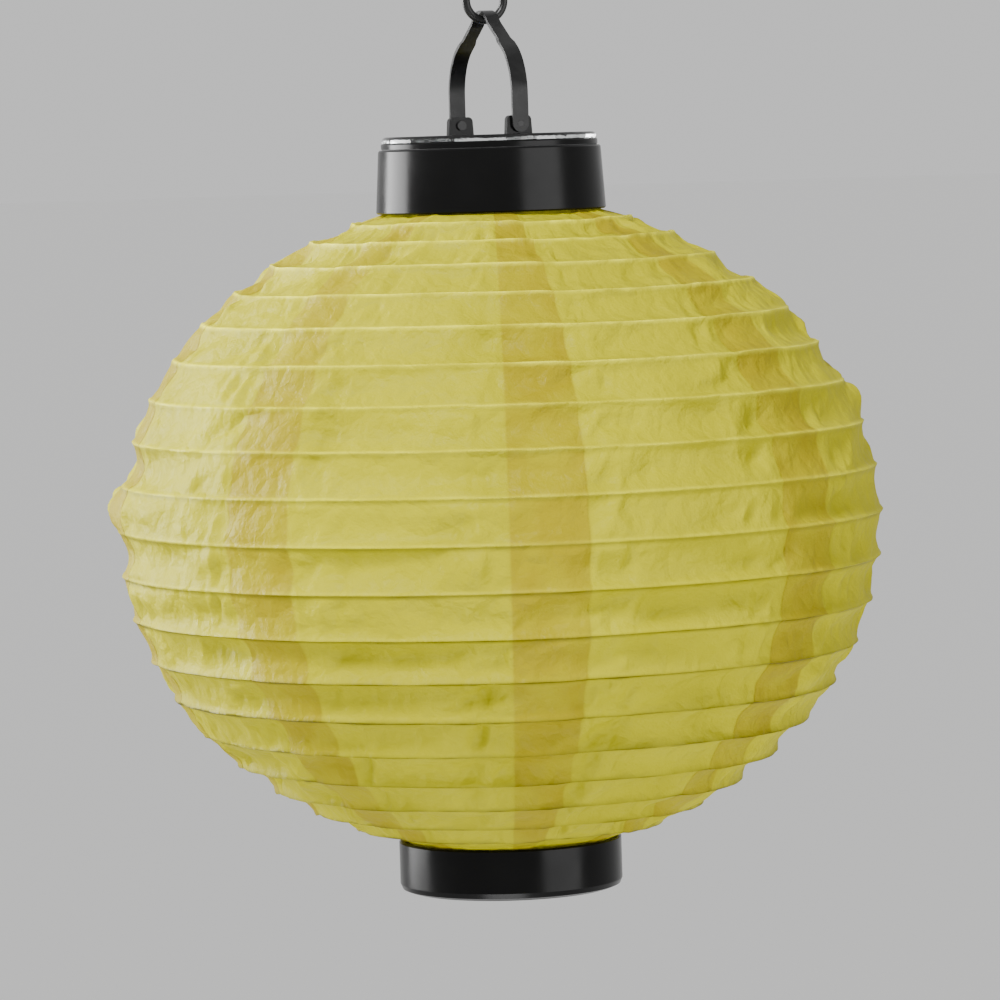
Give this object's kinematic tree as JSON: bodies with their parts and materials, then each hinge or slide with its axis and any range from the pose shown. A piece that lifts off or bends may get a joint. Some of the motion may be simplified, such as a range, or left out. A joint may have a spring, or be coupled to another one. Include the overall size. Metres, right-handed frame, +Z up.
{
  "type": "hanging solar lantern",
  "caption": "Round hanging lantern: wrinkled yellow cloth over wire hoops, black neck with solar lamp module, black base cup, folding strap handle and hanging link.",
  "frame": {"origin": "where a hook bears inside the top of the hanging link, on the axis of the lantern", "axes": "+Z up along the lantern axis; the strap handle arches in the YZ plane, the link lies in the XZ plane"},
  "size_m": [0.252, 0.252, 0.3145],
  "materials": {
    "link_steel": "satin",
    "strap_metal": "satin",
    "cap_plastic": "satin",
    "clear_cover": "clear",
    "solar_silicon": "gloss",
    "inner_plastic": "matte",
    "switch_plastic": "matte",
    "slider_plastic": "matte",
    "battery_wrap": "gloss",
    "contact_metal": "satin",
    "board_laminate": "gloss",
    "diode_resin": "gloss",
    "lead_copper": "satin",
    "screw_steel": "satin",
    "seal_rubber": "matte",
    "hoop_steel": "satin",
    "lantern_cloth": "matte"
  },
  "bodies": {
    "hanging_link": {"hanging_link": "link_steel"},
    "handle": {"handle_strap": "strap_metal", "pivot_screws": "screw_steel"},
    "lamp_module": {"module_shell": "cap_plastic", "panel_cover": "clear_cover", "solar_cell": "solar_silicon", "module_base": "inner_plastic", "battery_cell": "battery_wrap", "contact_plate": "contact_metal", "contact_spring": "contact_metal", "circuit_board": "board_laminate", "led_lamps": "diode_resin", "cell_leads": "lead_copper", "base_screws": "screw_steel", "switch_body": "switch_plastic", "sealing_ring": "seal_rubber"},
    "switch_slider": {"switch_slider": "slider_plastic"},
    "battery_door": {"battery_door": "inner_plastic"},
    "shade_top": {"top_collar": "cap_plastic", "top_clamp_ring": "inner_plastic", "fabric_gore_1": "lantern_cloth", "fabric_gore_2": "lantern_cloth", "fabric_gore_3": "lantern_cloth", "fabric_gore_4": "lantern_cloth", "fabric_gore_5": "lantern_cloth", "fabric_gore_6": "lantern_cloth", "fabric_gore_7": "lantern_cloth", "fabric_gore_8": "lantern_cloth"},
    "rib_hoop_01": {"rib_hoop_01": "hoop_steel"},
    "rib_hoop_02": {"rib_hoop_02": "hoop_steel"},
    "rib_hoop_03": {"rib_hoop_03": "hoop_steel"},
    "rib_hoop_04": {"rib_hoop_04": "hoop_steel"},
    "rib_hoop_05": {"rib_hoop_05": "hoop_steel"},
    "rib_hoop_06": {"rib_hoop_06": "hoop_steel"},
    "rib_hoop_07": {"rib_hoop_07": "hoop_steel"},
    "rib_hoop_08": {"rib_hoop_08": "hoop_steel"},
    "rib_hoop_09": {"rib_hoop_09": "hoop_steel"},
    "rib_hoop_10": {"rib_hoop_10": "hoop_steel"},
    "rib_hoop_11": {"rib_hoop_11": "hoop_steel"},
    "rib_hoop_12": {"rib_hoop_12": "hoop_steel"},
    "rib_hoop_13": {"rib_hoop_13": "hoop_steel"},
    "rib_hoop_14": {"rib_hoop_14": "hoop_steel"},
    "rib_hoop_15": {"rib_hoop_15": "hoop_steel"},
    "rib_hoop_16": {"rib_hoop_16": "hoop_steel"},
    "rib_hoop_17": {"rib_hoop_17": "hoop_steel"},
    "rib_hoop_18": {"rib_hoop_18": "hoop_steel"},
    "rib_hoop_19": {"rib_hoop_19": "hoop_steel"},
    "base_cup": {"bottom_collar": "cap_plastic", "bottom_clamp_ring": "inner_plastic", "bottom_plate": "cap_plastic"}
  },
  "joints": [
    {"name": "link_swing", "type": "hinge", "parent": "hanging_link", "child": "handle", "pos_m": [0, 0, -0.02395], "axis": [1, 0, 0], "range_deg": [-80, 80]},
    {"name": "handle_pivot", "type": "hinge", "parent": "handle", "child": "lamp_module", "pos_m": [0, 0, -0.05837], "axis": [0, 1, 0], "range_deg": [-80, 80]},
    {"name": "switch_slide", "type": "slide", "parent": "lamp_module", "child": "switch_slider", "axis": [1, 0, 0], "range_m": [0, 0.0025]},
    {"name": "door_hinge", "type": "hinge", "parent": "lamp_module", "child": "battery_door", "pos_m": [0, -0.0098, -0.08567], "axis": [-1, 0, 0], "range_deg": [0, 100]},
    {"name": "module_twist", "type": "hinge", "parent": "lamp_module", "child": "shade_top", "pos_m": [0, 0, -0.06357], "axis": [0, 0, 1], "range_deg": [0, 20]},
    {"name": "collapse", "type": "slide", "parent": "shade_top", "child": "base_cup", "axis": [0, 0, 1], "range_m": [0, 0.18], "deforming": ["fabric_gore_1", "fabric_gore_2", "fabric_gore_3", "fabric_gore_4", "fabric_gore_5", "fabric_gore_6", "fabric_gore_7", "fabric_gore_8"]},
    {"name": "rib_hoop_01_rise", "type": "slide", "parent": "shade_top", "child": "rib_hoop_01", "axis": [0, 0, 1], "range_m": [0, 0.0092]},
    {"name": "rib_hoop_02_rise", "type": "slide", "parent": "shade_top", "child": "rib_hoop_02", "axis": [0, 0, 1], "range_m": [0, 0.0138]},
    {"name": "rib_hoop_03_rise", "type": "slide", "parent": "shade_top", "child": "rib_hoop_03", "axis": [0, 0, 1], "range_m": [0, 0.0195]},
    {"name": "rib_hoop_04_rise", "type": "slide", "parent": "shade_top", "child": "rib_hoop_04", "axis": [0, 0, 1], "range_m": [0, 0.0266]},
    {"name": "rib_hoop_05_rise", "type": "slide", "parent": "shade_top", "child": "rib_hoop_05", "axis": [0, 0, 1], "range_m": [0, 0.0347]},
    {"name": "rib_hoop_06_rise", "type": "slide", "parent": "shade_top", "child": "rib_hoop_06", "axis": [0, 0, 1], "range_m": [0, 0.044]},
    {"name": "rib_hoop_07_rise", "type": "slide", "parent": "shade_top", "child": "rib_hoop_07", "axis": [0, 0, 1], "range_m": [0, 0.0542]},
    {"name": "rib_hoop_08_rise", "type": "slide", "parent": "shade_top", "child": "rib_hoop_08", "axis": [0, 0, 1], "range_m": [0, 0.0652]},
    {"name": "rib_hoop_09_rise", "type": "slide", "parent": "shade_top", "child": "rib_hoop_09", "axis": [0, 0, 1], "range_m": [0, 0.0767]},
    {"name": "rib_hoop_10_rise", "type": "slide", "parent": "shade_top", "child": "rib_hoop_10", "axis": [0, 0, 1], "range_m": [0, 0.0886]},
    {"name": "rib_hoop_11_rise", "type": "slide", "parent": "shade_top", "child": "rib_hoop_11", "axis": [0, 0, 1], "range_m": [0, 0.1005]},
    {"name": "rib_hoop_12_rise", "type": "slide", "parent": "shade_top", "child": "rib_hoop_12", "axis": [0, 0, 1], "range_m": [0, 0.1121]},
    {"name": "rib_hoop_13_rise", "type": "slide", "parent": "shade_top", "child": "rib_hoop_13", "axis": [0, 0, 1], "range_m": [0, 0.1233]},
    {"name": "rib_hoop_14_rise", "type": "slide", "parent": "shade_top", "child": "rib_hoop_14", "axis": [0, 0, 1], "range_m": [0, 0.1338]},
    {"name": "rib_hoop_15_rise", "type": "slide", "parent": "shade_top", "child": "rib_hoop_15", "axis": [0, 0, 1], "range_m": [0, 0.1434]},
    {"name": "rib_hoop_16_rise", "type": "slide", "parent": "shade_top", "child": "rib_hoop_16", "axis": [0, 0, 1], "range_m": [0, 0.1519]},
    {"name": "rib_hoop_17_rise", "type": "slide", "parent": "shade_top", "child": "rib_hoop_17", "axis": [0, 0, 1], "range_m": [0, 0.1593]},
    {"name": "rib_hoop_18_rise", "type": "slide", "parent": "shade_top", "child": "rib_hoop_18", "axis": [0, 0, 1], "range_m": [0, 0.1655]},
    {"name": "rib_hoop_19_rise", "type": "slide", "parent": "shade_top", "child": "rib_hoop_19", "axis": [0, 0, 1], "range_m": [0, 0.1705]}
  ],
  "couplings": [
    {"joint": "rib_hoop_01_rise", "follows": "collapse", "ratio": 0.04843},
    {"joint": "rib_hoop_02_rise", "follows": "collapse", "ratio": 0.07367},
    {"joint": "rib_hoop_03_rise", "follows": "collapse", "ratio": 0.10581},
    {"joint": "rib_hoop_04_rise", "follows": "collapse", "ratio": 0.14475},
    {"joint": "rib_hoop_05_rise", "follows": "collapse", "ratio": 0.1902},
    {"joint": "rib_hoop_06_rise", "follows": "collapse", "ratio": 0.24166},
    {"joint": "rib_hoop_07_rise", "follows": "collapse", "ratio": 0.29839},
    {"joint": "rib_hoop_08_rise", "follows": "collapse", "ratio": 0.3594},
    {"joint": "rib_hoop_09_rise", "follows": "collapse", "ratio": 0.42349},
    {"joint": "rib_hoop_10_rise", "follows": "collapse", "ratio": 0.48929},
    {"joint": "rib_hoop_11_rise", "follows": "collapse", "ratio": 0.55532},
    {"joint": "rib_hoop_12_rise", "follows": "collapse", "ratio": 0.62013},
    {"joint": "rib_hoop_13_rise", "follows": "collapse", "ratio": 0.68229},
    {"joint": "rib_hoop_14_rise", "follows": "collapse", "ratio": 0.74054},
    {"joint": "rib_hoop_15_rise", "follows": "collapse", "ratio": 0.79383},
    {"joint": "rib_hoop_16_rise", "follows": "collapse", "ratio": 0.84131},
    {"joint": "rib_hoop_17_rise", "follows": "collapse", "ratio": 0.88243},
    {"joint": "rib_hoop_18_rise", "follows": "collapse", "ratio": 0.91682},
    {"joint": "rib_hoop_19_rise", "follows": "collapse", "ratio": 0.94432}
  ]
}
